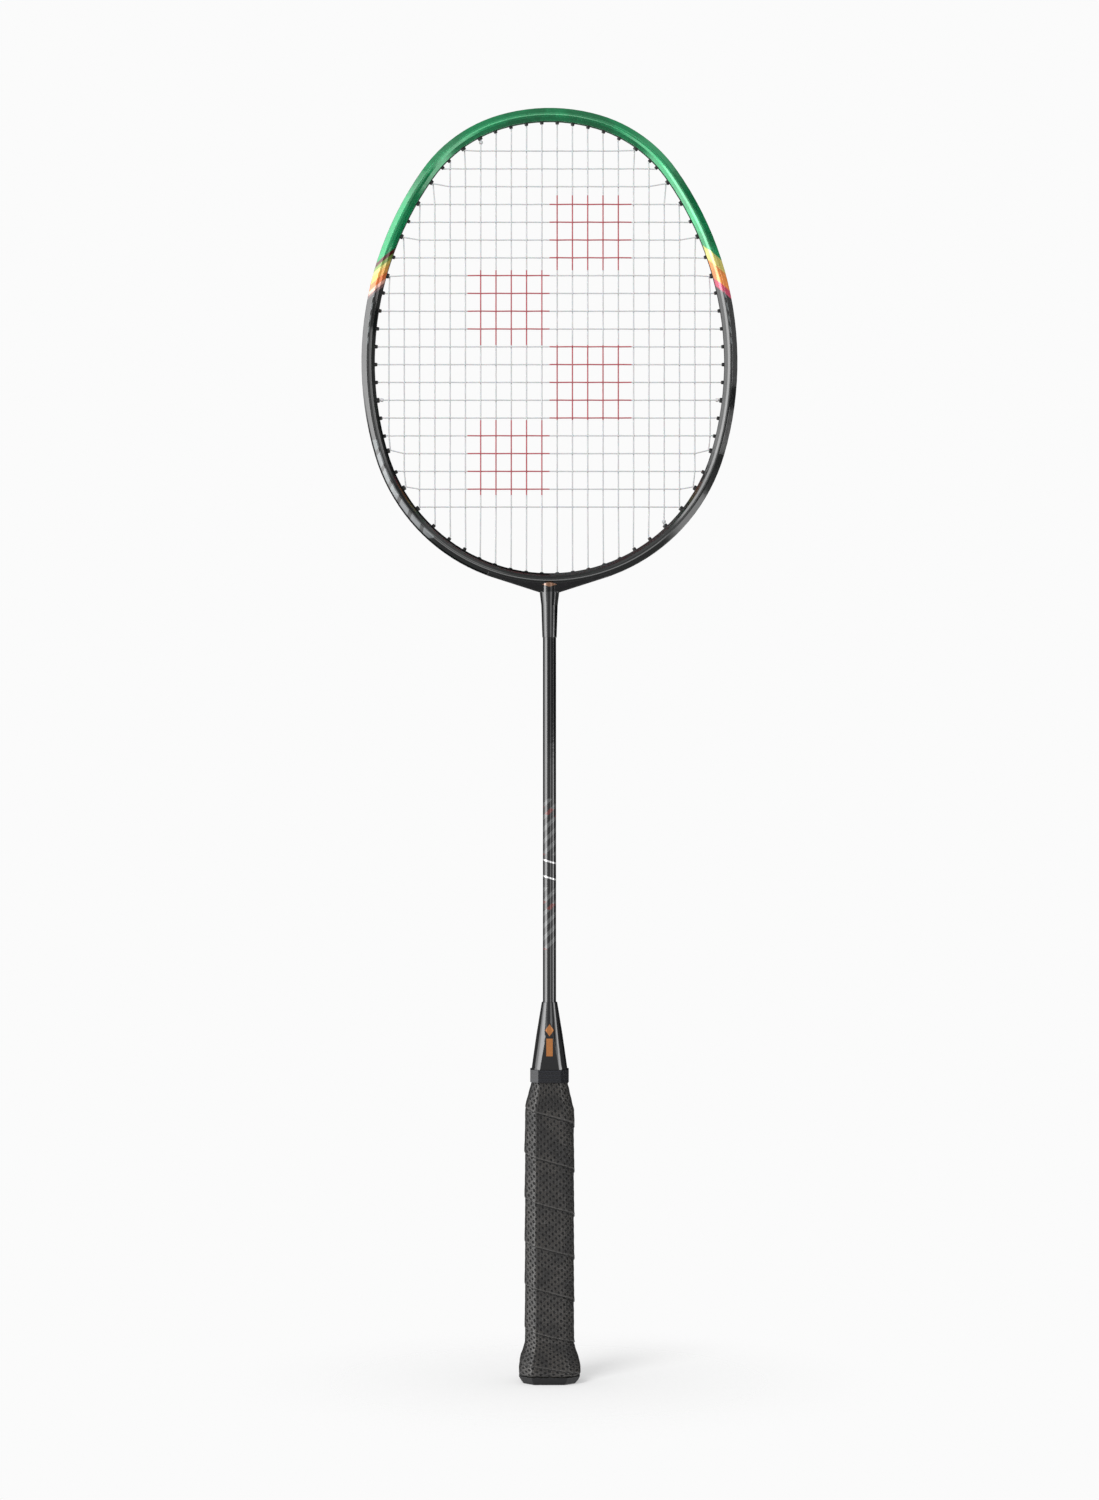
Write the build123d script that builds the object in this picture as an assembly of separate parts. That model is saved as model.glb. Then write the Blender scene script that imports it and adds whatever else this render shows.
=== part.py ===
"""Badminton racket: a strung hollow head on a slim tube shaft, with a cone cap and a wrapped octagonal handle.

Millimetres. The origin is the middle of the flat butt and +Z runs up to the crown of the head.
The strings lie in the XZ plane, so a shuttle meets them along Y. +X is to the right.
"""
import math
import os

import numpy as np
from build123d import *

# Head outline, measured to the outside of the hoop
racket_length = 675.0
head_length = 253.4
head_width = 199.2
crown_radius = 95.4
crown_turn = 16.3        # degrees from the crown to the end of the crown arc
shoulder_turn = 54.8     # ... to the end of the shoulder arc
flank_turn = 106.4       # ... to the end of the flank arc; the throat arc is the rest

# Hoop tube
hoop_thickness = 6.9     # across the tube in the plane of the head
hoop_depth = 10.0        # across the tube along Y
hoop_wall = 1.0
outer_land = 5.2         # width of the outer face
inner_land = 4.6         # width of the inner face
outer_slope = 2.7        # how far the outer facet reaches in towards the strings
crest_width = 1.3        # width of the crest between the outer and the inner facets
crest_drop = 0.225       # the edges of the crest lie this far below its middle
shelf_drop = 0.9         # the inner edge of the shelf lies this far below the middle of the crest
shelf_width = 1.1
edge_round = 0.35
groove_width = 3.0
groove_depth = 1.25

# Strings
string_diameter = 0.70
main_count = 22
main_pitch = 8.11
cross_count = 21
cross_pitch = 9.44
top_cross_drop = 22.5    # from the crown to the first cross string
crossing_gap = 0.06
loop_gap = 0.05          # between a loop and the flanges that it passes over
loop_step = 3.0          # a loop follows the groove in straight steps no longer than this
sharp_turn = 0.5         # degrees; a string has an arc at every turn sharper than this
turn_radius = 0.6
loop_shift = 0.76        # how far to one side of the groove a loop runs
loop_lead = 1.52         # a loop has moved to its side this far past its hole
twin_shift = 0.42        # how far two strings lie from the middle of a hole that they share

# Grommets
grommet_diameter = 2.0
grommet_bore = 1.0
twin_diameter = 2.7
twin_bore = 1.72
grommet_stub = 1.4       # how far a grommet stands in from the hoop
mouth_lead = 0.3         # a string turns into its grommet this far inside the grommet's mouth
throat_stub = 0.5        # the same beside the shaft, where the grommets are cut short
throat_stub_half_width = 40.0
flange_rim = 0.35
flange_thickness = 0.35
drill_clearance = 0.05
drill_overrun = 1.0      # a drill starts and ends this far outside the hoop
tip_taper = 0.165        # how much thinner a grommet's wall is at its inner tip
zone_limits = (32.6, 73.7, 106.3, 147.4)  # degrees from the crown where one strip of grommets follows another
share_distance = 4.4     # a main and a cross whose holes are nearer than this share one hole

# Knots that tie off the strings
knot_length = 1.6
knot_diameter = 2.0
knot_clearance = 0.02
knot_round = 0.4
tail_gap = 0.05

# Tee joint inside the throat
tee_reach = 20.0         # how far each arm reaches from the middle
tee_clearance = 0.1
tee_spigot_length = 26.0
tee_spigot_clearance = 0.1

# Shaft
shaft_diameter = 7.0
shaft_bore = 5.0
shaft_top_gap = 1.6      # from the hoop down to the top of the shaft
shaft_depth_in_handle = 64.0
shaft_clearance = 0.05

# Throat shell
neck_bottom_diameter = 7.6
neck_waist_diameter = 8.7
neck_top_diameter = 10.4
neck_length = 24.0
neck_waist_drop = 7.0    # from the foot of the cheeks down to the waist of the neck
neck_corner = 2.0
neck_rise = 1.7          # how far the neck is carried up past the outside of the hoop, to be cut to it
throat_half_width = 33.0
throat_drop = 3.1        # from the hoop down to where the cheeks meet the neck
throat_depth = 8.6
throat_embrace = 2.3     # how far the cheeks reach up beside the hoop's outer facets
throat_edge_round = 0.8
throat_clearance = 0.02
hoop_space_margin = 16.0  # degrees by which the hoop's space runs past each cheek

# Cone cap
cone_top_diameter = 8.2
cone_waist_diameter = 15.0
cone_base_diameter = 20.6
cone_length = 35.5
cone_waist_height = 14.8  # from the base up to the waist, where the slope changes
cone_base_width = 19.0   # across the flats
cone_top_width = 9.0
cone_base_depth = 17.9
cone_roof = 6.0          # solid length at the top, which grips the shaft

# Handle, over the grip tape
handle_length = 165.7    # from the butt to the base of the cone
grip_width = 26.8
grip_depth = 24.2
grip_top_width = 19.7
grip_top_depth = 18.4
grip_taper_length = 15.0
flare_width = 33.4
flare_depth = 30.4
flare_height = 7.0       # the widest level of the flare
flare_length = 16.0
flare_steps = 5          # straight steps up the flare from its widest level
foot_steps = 4           # ... and down to the butt
butt_width = 27.0
butt_depth = 24.4
corner_facet = 5.6       # how far each corner facet cuts into the width and the depth

# Handle pieces
grip_thickness = 1.6
grip_tape_pitch = 23.5
grip_seam_width = 0.6
grip_seam_depth = 0.5
under_tape_thickness = 0.2
band_height = 6.6
band_thickness = 0.35
band_clearance = 0.02
grip_end_gap = 0.6       # from the base of the cone down to the end of the grip tape
tenon_diameter = 12.0
tenon_length = 8.0
tenon_clearance = 0.1
handle_bore = 11.0
handle_bore_floor = 18.0  # solid wood between the bore and the shaft
butt_cap_height = 4.0
butt_plug_length = 9.0
butt_plug_clearance = 0.1
butt_plug_bore = 8.0

crown_z = racket_length
throat_z = racket_length - head_length
shaft_top = throat_z - shaft_top_gap
shaft_bottom = handle_length - shaft_depth_in_handle
band_bottom = handle_length - band_height
taper_bottom = band_bottom - grip_taper_length
flare_top = flare_height + flare_length
grip_build = grip_thickness + under_tape_thickness
tee_middle = throat_z + (groove_depth + hoop_thickness) / 2
string_radius = string_diameter / 2
crossing_shift = (string_diameter + crossing_gap) / 2
groove_floor = -groove_depth
loop_level = groove_floor + flange_thickness + string_radius + loop_gap


# ---------------------------------------------------------------- head outline

def head_arcs():
    """The right half of the outline from the crown to the throat: (centre x, centre z, radius, start, end).

    Angles are in radians, from +Z towards +X. Each arc runs into the next with no corner. The crown radius
    is given. The other three follow from the width, the length and the return to the centre line.
    """
    turns = [0.0, *(math.radians(t) for t in (crown_turn, shoulder_turn, flank_turn)), math.pi]
    s = [math.sin(t) for t in turns]
    c = [math.cos(t) for t in turns]
    rows = [
        [s[2] - s[1], s[3] - s[2], -s[3]],
        [c[1] - c[2], c[2] - c[3], c[3] + 1],
        [s[2] - s[1], 1 - s[2], 0],
    ]
    ends = [-crown_radius * s[1], head_length - crown_radius * (1 - c[1]), head_width / 2 - crown_radius * s[1]]
    radii = [crown_radius, *np.linalg.solve(rows, ends)]
    arcs = []
    x, z = 0.0, crown_z
    for radius, start, end in zip(radii, turns, turns[1:]):
        cx, cz = x - radius * math.sin(start), z - radius * math.cos(start)
        arcs.append((cx, cz, float(radius), start, end))
        x, z = cx + radius * math.sin(end), cz + radius * math.cos(end)
    return arcs


ARCS = head_arcs()
WIDEST = math.pi / 2     # the turn at which the head is widest
HALVINGS = 50            # of the range in which a turn is looked for


def outline_point(turn, level=0.0, y=0.0):
    """The point at a turn of 0 to 2 pi round the head, level outside the outline (inside if negative)."""
    side = 1 if turn <= math.pi else -1
    half_turn = turn if side > 0 else 2 * math.pi - turn
    cx, cz, radius, _, _ = next(a for a in ARCS if half_turn <= a[4] + 1e-9)
    return Vector(side * (cx + (radius + level) * math.sin(half_turn)), y,
                  cz + (radius + level) * math.cos(half_turn))


def outward(turn):
    return Vector(math.sin(turn), 0, math.cos(turn))


def arc_length(turn):
    """Distance round the outside of the hoop, from the crown."""
    half_turn = min(turn, 2 * math.pi - turn)
    length = sum(a[2] * (min(half_turn, a[4]) - a[3]) for a in ARCS if half_turn > a[3])
    half_length = sum(a[2] * (a[4] - a[3]) for a in ARCS)
    return length if turn <= math.pi else 2 * half_length - length


def turn_at(distance):
    """The turn at a distance round the outside of the hoop, from the crown."""
    low, high = 0.0, 2 * math.pi
    for _ in range(HALVINGS):
        middle = (low + high) / 2
        low, high = (middle, high) if arc_length(middle) < distance else (low, middle)
    return (low + high) / 2


def turn_where(value, axis, level, low, high):
    """The turn between low and high at which the outline, offset by level, has this x or z."""
    def reading(turn):
        point = outline_point(turn, level)
        return point.X if axis == "x" else point.Z
    rising = reading(high) > reading(low)
    for _ in range(HALVINGS):
        middle = (low + high) / 2
        if (reading(middle) < value) == rising:
            low = middle
        else:
            high = middle
    return (low + high) / 2


STAND = (Align.CENTER, Align.CENTER, Align.MIN)
HANG = (Align.CENTER, Align.CENTER, Align.MAX)


# ---------------------------------------------------------------- hoop

def hoop_outline():
    """Section of the hoop without its groove. Local x is outward from the outline, local y is along Y."""
    crest = -outer_slope - crest_width
    shelf = crest - shelf_width
    half = [
        (0, outer_land / 2),
        (-outer_slope, hoop_depth / 2 - crest_drop),
        (-outer_slope - crest_width / 2, hoop_depth / 2),
        (crest, hoop_depth / 2 - crest_drop),
        (shelf, hoop_depth / 2 - shelf_drop),
        (-hoop_thickness, inner_land / 2),
    ]
    points = half + [(x, -y) for x, y in reversed(half)]
    outline = make_face(Polyline(*points, close=True))
    return fillet(outline.vertices(), edge_round)


def hoop_section():
    outline = hoop_outline()
    groove = Pos(-groove_depth / 2, 0) * Rectangle(groove_depth, groove_width)
    solid_section = outline - groove
    return solid_section - offset(solid_section, -hoop_wall, kind=Kind.INTERSECTION)


def cavity_section(clearance):
    groove = Pos(-groove_depth / 2, 0) * Rectangle(groove_depth, groove_width)
    return offset(hoop_outline() - groove, -hoop_wall - clearance, kind=Kind.INTERSECTION)


def swing(section, cx, cz, radius, start, end):
    """Turn a hoop section about an arc's centre, from one turn to another."""
    plane = Plane(origin=(cx, 0, cz), x_dir=outward(start), z_dir=(-math.cos(start), 0, math.sin(start)))
    placed = plane * (Pos(radius, 0) * section)
    return revolve(placed, axis=Axis((cx, 0, cz), (0, 1, 0)), revolution_arc=math.degrees(end - start))


def hoop_spans():
    """All arcs of the whole head: the crown and the throat arcs once, and the side arcs on both sides."""
    crown, shoulder, flank, throat = ARCS
    spans = [(*crown[:3], -crown[4], crown[4]), (*throat[:3], throat[3], 2 * math.pi - throat[3])]
    for cx, cz, radius, start, end in (shoulder, flank):
        spans.append((cx, cz, radius, start, end))
        spans.append((-cx, cz, radius, 2 * math.pi - end, 2 * math.pi - start))
    return spans


def head_frame(holes):
    section = hoop_section()
    hoop = Part() + [swing(section, *span) for span in hoop_spans()]
    spigot_hole = Pos(0, 0, tee_middle) * Cylinder(shaft_bore / 2, hoop_thickness, align=HANG)
    return hoop - [hole_drill(hole) for hole in holes] - spigot_hole


# ---------------------------------------------------------------- holes and grommets

def main_x(i):
    return (i - (main_count - 1) / 2) * main_pitch


def cross_z(j):
    return crown_z - top_cross_drop - j * cross_pitch


def string_ends():
    """Where every string run meets the hoop: {(string, run, end): turn}."""
    tip = -hoop_thickness - grommet_stub
    ends = {}
    for i in range(main_count):
        x = main_x(i)
        side = (0, WIDEST) if x > 0 else (2 * math.pi - WIDEST, 2 * math.pi)
        low_side = (WIDEST, math.pi) if x > 0 else (math.pi, 2 * math.pi - WIDEST)
        ends["main", i, "top"] = turn_where(x, "x", tip, *side)
        ends["main", i, "bottom"] = turn_where(x, "x", tip, *low_side)
    for j in range(cross_count):
        ends["cross", j, "right"] = turn_where(cross_z(j), "z", tip, 0, math.pi)
        ends["cross", j, "left"] = 2 * math.pi - ends["cross", j, "right"]
    return ends


def free_ends():
    """The four string ends that no loop takes up: the start of each string's first run and the end of its last."""
    last_level = "top" if main_count % 2 else "bottom"
    last_side = "right" if cross_count % 2 else "left"
    return [("main", 0, "bottom"), ("main", main_count - 1, last_level),
            ("cross", 0, "left"), ("cross", cross_count - 1, last_side)]


def plan_holes():
    """Put each string end in a hole. A main and a cross that come close share one, midway between them.

    Each free end then runs on to the nearest hole that the other string has to itself, and is tied off there.
    """
    ends = string_ends()
    mains = [e for e in ends if e[0] == "main"]
    crosses = [e for e in ends if e[0] == "cross"]
    distance = {e: arc_length(turn) for e, turn in ends.items()}
    pairs = sorted((abs(distance[m] - distance[c]), m, c) for m in mains for c in crosses)
    holes = []
    placed = set()
    for gap, m, c in pairs:
        if gap < share_distance and m not in placed and c not in placed:
            holes.append({"turn": turn_at((distance[m] + distance[c]) / 2), "ends": [m, c]})
            placed |= {m, c}
    holes += [{"turn": ends[e], "ends": [e]} for e in ends if e not in placed]
    for end in free_ends():
        start = hole_of(holes, end)
        single = [h for h in holes if len(h["ends"]) == 1 and h["ends"][0][0] != end[0]]
        roomy = [h for h in single if room_for_knot(holes, h)]
        tie = min(roomy, key=lambda h: abs(way_round(start, h)))
        tie["ends"].append((end[0], end[1], "tail"))
    return sorted(holes, key=lambda hole: hole["turn"])


def room_for_knot(holes, hole):
    """Whether the string in a hole has room for a knot before it meets the first string that it crosses."""
    kind, k, _ = hole["ends"][0]
    nearest = min((point - mouth(hole, kind)).length for point in crossing_points(holes, kind, k))
    return nearest > knot_length + knot_diameter


def way_round(start, end):
    """Signed distance round the hoop from one hole to another, the shorter way."""
    whole = 2 * arc_length(math.pi)
    return (arc_length(end["turn"]) - arc_length(start["turn"]) + whole / 2) % whole - whole / 2


def hole_of(holes, end):
    return next(hole for hole in holes if end in hole["ends"])


def hole_stub(hole):
    near_shaft = hole["turn"] > WIDEST and hole["turn"] < 2 * math.pi - WIDEST
    near_shaft = near_shaft and abs(outline_point(hole["turn"]).X) < throat_stub_half_width
    return throat_stub if near_shaft else grommet_stub


def hole_shift(hole, kind):
    """How far along Y a string lies from the middle of its hole."""
    if len(hole["ends"]) == 1:
        return 0.0
    return twin_shift if kind == "main" else -twin_shift


def hole_drill(hole):
    """The cylinder that clears a hole in the hoop, along the hoop's own outward direction."""
    twin = len(hole["ends"]) > 1
    radius = (twin_diameter if twin else grommet_diameter) / 2 + drill_clearance
    start = outline_point(hole["turn"], -hoop_thickness - drill_overrun)
    plane = Plane(origin=start, z_dir=outward(hole["turn"]))
    return plane * Cylinder(radius, hoop_thickness + 2 * drill_overrun, align=STAND)


def grommet(hole):
    """A flanged tube from the floor of the groove to a little way inside the hoop."""
    twin = len(hole["ends"]) > 1
    outer = (twin_diameter if twin else grommet_diameter) / 2
    bore = (twin_bore if twin else grommet_bore) / 2
    rim = min(outer + flange_rim, groove_width / 2 - drill_clearance)
    length = hoop_thickness - groove_depth + hole_stub(hole)
    half = make_face(Polyline(
        (bore, 0), (outer - tip_taper, 0), (outer, hole_stub(hole) / 2), (outer, length), (rim, length),
        (rim, length + flange_thickness), (bore, length + flange_thickness), close=True))
    tube = revolve(Plane.XZ * half, axis=Axis.Z)
    plane = Plane(origin=outline_point(hole["turn"], -hoop_thickness - hole_stub(hole)),
                  x_dir=(0, 1, 0), z_dir=outward(hole["turn"]))
    return plane * tube


def grommet_zone(hole):
    """The strip of grommets that a grommet belongs to."""
    right = hole["turn"] <= math.pi
    degrees = math.degrees(hole["turn"] if right else 2 * math.pi - hole["turn"])
    side = "right" if right else "left"
    strips = ("crown", f"shoulder_{side}", f"side_{side}", f"lower_{side}", "throat")
    return "grommets_" + strips[sum(degrees >= limit for limit in zone_limits)]


# ---------------------------------------------------------------- strings

def mouth(hole, kind):
    """Where a string enters a grommet from inside the head."""
    return outline_point(hole["turn"], -hoop_thickness - hole_stub(hole) - mouth_lead, hole_shift(hole, kind))


def groove_point(hole, kind):
    return outline_point(hole["turn"], loop_level, hole_shift(hole, kind))


def crossing_points(holes, kind, k):
    """A run's points where it passes over or under the other string, low to high or left to right."""
    tip = -hoop_thickness - grommet_stub - string_diameter
    points = []
    others = reversed(range(cross_count)) if kind == "main" else range(main_count)
    for other in others:
        i, j = (k, other) if kind == "main" else (other, k)
        x, z = main_x(i), cross_z(j)
        shared = any(("main", i) in names and ("cross", j) in names for names in
                     ([end[:2] for end in hole["ends"] if end[2] != "tail"] for hole in holes))
        if inside_outline(x, z, tip) and not shared:
            over = 1 if (i + j) % 2 else -1
            points.append(Vector(x, over * crossing_shift if kind == "main" else -over * crossing_shift, z))
    return points


def inside_outline(x, z, level):
    if not throat_z < z < crown_z:
        return False
    edge = outline_point(turn_where(z, "z", level, 0, math.pi), level)
    return abs(x) < edge.X


def loop_points(kind, start, end):
    """Along the groove from one hole to the next, to one side of the middle so that the strings can pass."""
    first, way = arc_length(start["turn"]), way_round(start, end)
    lead = math.copysign(loop_lead, way)
    steps = math.ceil(abs(way) / loop_step)
    shift = loop_shift if kind == "main" else -loop_shift
    stretch = [first + lead + (way - 2 * lead) * n / steps for n in range(steps + 1)]
    return [outline_point(turn_at(d % arc_length(2 * math.pi)), loop_level, shift) for d in stretch]


def string_path(holes, kind):
    """A whole string: up and down, or across and back, with a loop round the outside between runs.

    It begins and ends with a tail, tied off one hole further on.
    """
    count = main_count if kind == "main" else cross_count
    low, high = ("bottom", "top") if kind == "main" else ("left", "right")
    tails = [hole_of(holes, (kind, k, "tail")) for k in (0, count - 1)]
    inward = [-outward(tail["turn"]) for tail in tails]
    starts = [hole_of(holes, (kind, k, low if k % 2 == 0 else high)) for k in range(count)]
    finishes = [hole_of(holes, (kind, k, high if k % 2 == 0 else low)) for k in range(count)]
    stops = [tails[0], *(hole for pair in zip(starts, finishes) for hole in pair), tails[1]]

    points = [mouth(stops[0], kind) + inward[0] * tail_gap, groove_point(stops[0], kind)]
    for k in range(count):
        begin, finish = starts[k], finishes[k]
        points += loop_points(kind, stops[2 * k], begin)
        run = crossing_points(holes, kind, k)
        if k % 2:
            run.reverse()
        points += [groove_point(begin, kind), mouth(begin, kind), *run,
                   mouth(finish, kind), groove_point(finish, kind)]
    points += loop_points(kind, stops[-2], stops[-1])
    points += [groove_point(stops[-1], kind), mouth(stops[-1], kind) + inward[1] * tail_gap]
    return points


def string_line(points):
    """Straight runs between the points, with an arc at each turn."""
    edges = []
    reached = points[0]
    for before, corner, after in zip(points, points[1:], points[2:]):
        arrive, leave = (corner - before).normalized(), (after - corner).normalized()
        turn = arrive.get_angle(leave)
        first = last = corner
        if turn > sharp_turn:
            cut = turn_radius * math.tan(math.radians(turn) / 2)
            first, last = corner - arrive * cut, corner + leave * cut
        edges.append(Line(reached, first))
        if turn > sharp_turn:
            edges.append(TangentArc(first, last, tangent=arrive))
        reached = last
    edges.append(Line(reached, points[-1]))
    return Curve() + edges


def sweep_string(points):
    start = Plane(origin=points[0], z_dir=points[1] - points[0])
    return sweep(start * Circle(string_radius), path=string_line(points), transition=Transition.RIGHT)


def knot(points, hole, kind):
    """A wrapped knot round the string next to a tail, just inside the tie hole."""
    tie = mouth(hole, kind)
    nearest = min(range(len(points)), key=lambda n: (points[n] - tie).length)
    steps = [points[n] - points[nearest] for n in (nearest - 1, nearest + 1)]
    run = min(steps, key=lambda step: step.normalized().dot(outward(hole["turn"])))
    bore = string_radius + knot_clearance
    half = make_face(Polyline((bore, 0), (knot_diameter / 2, 0), (knot_diameter / 2, knot_length),
                              (bore, knot_length), close=True))
    outer_corners = half.vertices().sort_by(Axis.X)[-2:]
    barrel = revolve(Plane.XZ * fillet(outer_corners, knot_round), axis=Axis.Z)
    along = -run.normalized().dot(outward(hole["turn"]))
    across = math.sqrt(1 - along ** 2)
    lead = max(2 * tail_gap, (knot_diameter / 2 * across - mouth_lead + tail_gap) / along)
    plane = Plane(origin=points[nearest] + run.normalized() * lead, z_dir=run)
    return plane * barrel


def string_knots(holes, paths):
    knots = []
    for hole in holes:
        if any(end[2] == "tail" for end in hole["ends"]):
            other = hole["ends"][0][0]
            knots.append(knot(paths[other], hole, other))
    return Part() + knots


# ---------------------------------------------------------------- throat and shaft

def tee_joint(holes):
    """Two arms inside the hoop and a spigot down into the shaft, drilled for the grommets beside it."""
    cx, cz, radius, _, _ = ARCS[-1]
    reach = tee_reach / radius
    arms = swing(cavity_section(tee_clearance), cx, cz, radius, math.pi - reach, math.pi + reach)
    spigot = Pos(0, 0, tee_middle) * Cylinder(
        shaft_bore / 2 - tee_spigot_clearance, tee_middle - shaft_top + tee_spigot_length, align=HANG)
    near = [h for h in holes if abs(h["turn"] - math.pi) < 2 * reach]
    return arms + spigot - [hole_drill(hole) for hole in near]


def throat_shell():
    """The moulded neck over the top of the shaft, with cheeks that blend it into the hoop."""
    cx, cz, radius, _, _ = ARCS[-1]
    end_turn = turn_where(throat_half_width, "x", 0, WIDEST, math.pi)
    foot_z = throat_z - throat_drop
    tip, tip_in = (outline_point(end_turn, level) for level in (0, -throat_embrace))
    corner = (neck_top_diameter / 2, foot_z)
    lower = [(-tip.X, tip.Z), (-corner[0], corner[1]), corner, (tip.X, tip.Z)]
    upper = ThreePointArc((tip_in.X, tip_in.Z), (0, throat_z + throat_embrace), (-tip_in.X, tip_in.Z))
    edges = [Polyline(*lower), Line((tip.X, tip.Z), (tip_in.X, tip_in.Z)), upper,
             Line((-tip_in.X, tip_in.Z), (-tip.X, tip.Z))]
    cheeks = extrude(Plane.XZ * make_face(edges), amount=throat_depth / 2, both=True)
    neck_bottom = foot_z - neck_length
    half_neck = make_face(Polyline(
        (0, neck_bottom), (neck_bottom_diameter / 2, neck_bottom),
        (neck_waist_diameter / 2, foot_z - neck_waist_drop), (neck_top_diameter / 2, foot_z),
        (neck_top_diameter / 2, throat_z + neck_rise), (0, throat_z + neck_rise), close=True))
    neck = revolve(Plane.XZ * half_neck, axis=Axis.Z)
    reach = math.pi - end_turn + math.radians(hoop_space_margin)
    space_section = offset(hoop_outline(), throat_clearance)
    hoop_space = swing(space_section, cx, cz, radius, math.pi - reach, math.pi + reach)
    bore = Pos(0, 0, neck_bottom) * Cylinder(shaft_diameter / 2 + shaft_clearance, 2 * neck_length, align=STAND)
    slot_height = 4 * hoop_thickness
    slot = Box(2 * throat_half_width, groove_width, slot_height) - Box(
        neck_top_diameter + neck_corner, groove_width, slot_height)
    return cheeks + neck - hoop_space - bore - Pos(0, 0, throat_z) * slot


def shaft():
    length = shaft_top - shaft_bottom
    tube = Cylinder(shaft_diameter / 2, length, align=STAND) - Cylinder(shaft_bore / 2, length, align=STAND)
    return Pos(0, 0, shaft_bottom) * tube


def cone_cap():
    """A round cone cut by eight flats, so that each flat rises to a point near the shaft."""
    top = handle_length + cone_length
    half = make_face(Polyline(
        (0, handle_length), (cone_base_diameter / 2, handle_length),
        (cone_waist_diameter / 2, handle_length + cone_waist_height), (cone_top_diameter / 2, top), (0, top),
        close=True))
    flats = loft([Pos(0, 0, handle_length) * octagon(cone_base_width, cone_base_depth),
                  Pos(0, 0, top) * octagon(cone_top_width, cone_top_width)], ruled=True)
    seat = tenon_diameter / 2 + tenon_clearance
    shaft_hole = shaft_diameter / 2 + shaft_clearance
    roof = top - cone_roof
    hollow = make_face(Polyline(
        (0, handle_length), (seat, handle_length), (seat, handle_length + tenon_length + tenon_clearance),
        (shaft_hole, roof), (shaft_hole, top), (0, top), close=True))
    cone = revolve(Plane.XZ * half, axis=Axis.Z) & flats
    return cone - revolve(Plane.XZ * hollow, axis=Axis.Z)


# ---------------------------------------------------------------- handle

def octagon(width, depth):
    """A rectangle with its corners cut back, each by the same share as on the grip."""
    cut = corner_facet * min(width / grip_width, depth / grip_depth)
    w, d = width / 2, depth / 2
    corners = [(w, d - cut), (w - cut, d), (cut - w, d), (-w, d - cut),
               (-w, cut - d), (cut - w, -d), (w - cut, -d), (w, cut - d)]
    return make_face(Polyline(*corners, close=True))


def handle_size(z):
    """Width and depth over the grip tape at a height above the butt."""
    def mix(first, second, share):
        return tuple(a + (b - a) * share for a, b in zip(first, second))
    grip, flare = (grip_width, grip_depth), (flare_width, flare_depth)
    if z < flare_height:
        return mix(flare, (butt_width, butt_depth), (1 - z / flare_height) ** 2)
    if z < flare_top:
        return mix(grip, flare, (1 + math.cos(math.pi * (z - flare_height) / flare_length)) / 2)
    if z < taper_bottom:
        return grip
    top = (grip_top_width, grip_top_depth)
    return mix(grip, top, min(1, (z - taper_bottom) / grip_taper_length))


def handle_levels(bottom, top):
    """The heights at which the handle changes its taper, with steps round the flare."""
    rounding = [flare_height * n / foot_steps for n in range(foot_steps + 1)]
    flare = [flare_height + flare_length * n / flare_steps for n in range(1, flare_steps + 1)]
    inner = [z for z in (*rounding, *flare, taper_bottom, band_bottom) if bottom < z < top]
    return [bottom, *inner, top]


def handle_loft(bottom, top, inset):
    """The handle's shape between two heights, inset all round from the grip tape's surface."""
    body = Part()
    levels = handle_levels(bottom, top)
    for low, high in zip(levels, levels[1:]):
        ends = []
        for z in (low, high):
            width, depth = handle_size(z)
            ends.append(Pos(0, 0, z) * octagon(width - 2 * inset, depth - 2 * inset))
        body += loft(ends, ruled=True)
    return body


def handle_core():
    """Wood, bored from the butt to save weight and from the top for the shaft, with a tenon for the cone."""
    body = handle_loft(butt_cap_height, handle_length, grip_build)
    body += Pos(0, 0, handle_length) * Cylinder(tenon_diameter / 2, tenon_length, align=STAND)
    bore_top = shaft_bottom - handle_bore_floor
    body -= Pos(0, 0, bore_top) * Cylinder(handle_bore / 2, bore_top, align=HANG)
    return body - Pos(0, 0, shaft_bottom) * Cylinder(shaft_diameter / 2 + shaft_clearance, handle_length,
                                                     align=STAND)


def butt_cap():
    plate = handle_loft(0, butt_cap_height, 0)
    plug = Cylinder(handle_bore / 2 - butt_plug_clearance, butt_plug_length, align=STAND)
    hollow = Cylinder(butt_plug_bore / 2, butt_plug_length, align=STAND)
    return plate + Pos(0, 0, butt_cap_height) * (plug - hollow)


def under_tape():
    """Double-sided tape that holds the grip on the wood."""
    top = handle_length - grip_end_gap
    return handle_loft(butt_cap_height, top, grip_thickness) - handle_loft(butt_cap_height, top, grip_build)


def grip_tape():
    """The wrapped grip as a sleeve, with the seam of its turns cut along each flat."""
    top = handle_length - grip_end_gap
    sleeve = handle_loft(butt_cap_height, top, 0) - handle_loft(butt_cap_height, top, grip_thickness)
    return sleeve - seam_cuts()


def seam_cuts():
    """Straight cuts along the seam on the eight flats of the straight part of the grip, each a little lower."""
    corners = [Vector(v.X, v.Y, 0) for v in octagon(grip_width, grip_depth).vertices()]
    corners.sort(key=lambda v: math.atan2(v.Y, v.X))
    sides = list(zip(corners, corners[1:] + corners[:1]))
    girth = sum((b - a).length for a, b in sides)
    cuts = []
    z = taper_bottom
    while z - grip_tape_pitch > flare_top:
        for a, b in sides:
            fall = grip_tape_pitch * (b - a).length / girth
            start, end = a + Vector(0, 0, z), b + Vector(0, 0, z - fall)
            plane = Plane(origin=(start + end) / 2, x_dir=end - start, z_dir=(b - a).cross(Vector(0, 0, 1)))
            cuts.append(plane * Box((end - start).length, grip_seam_width, 2 * grip_seam_depth))
            z -= fall
    return cuts


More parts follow.
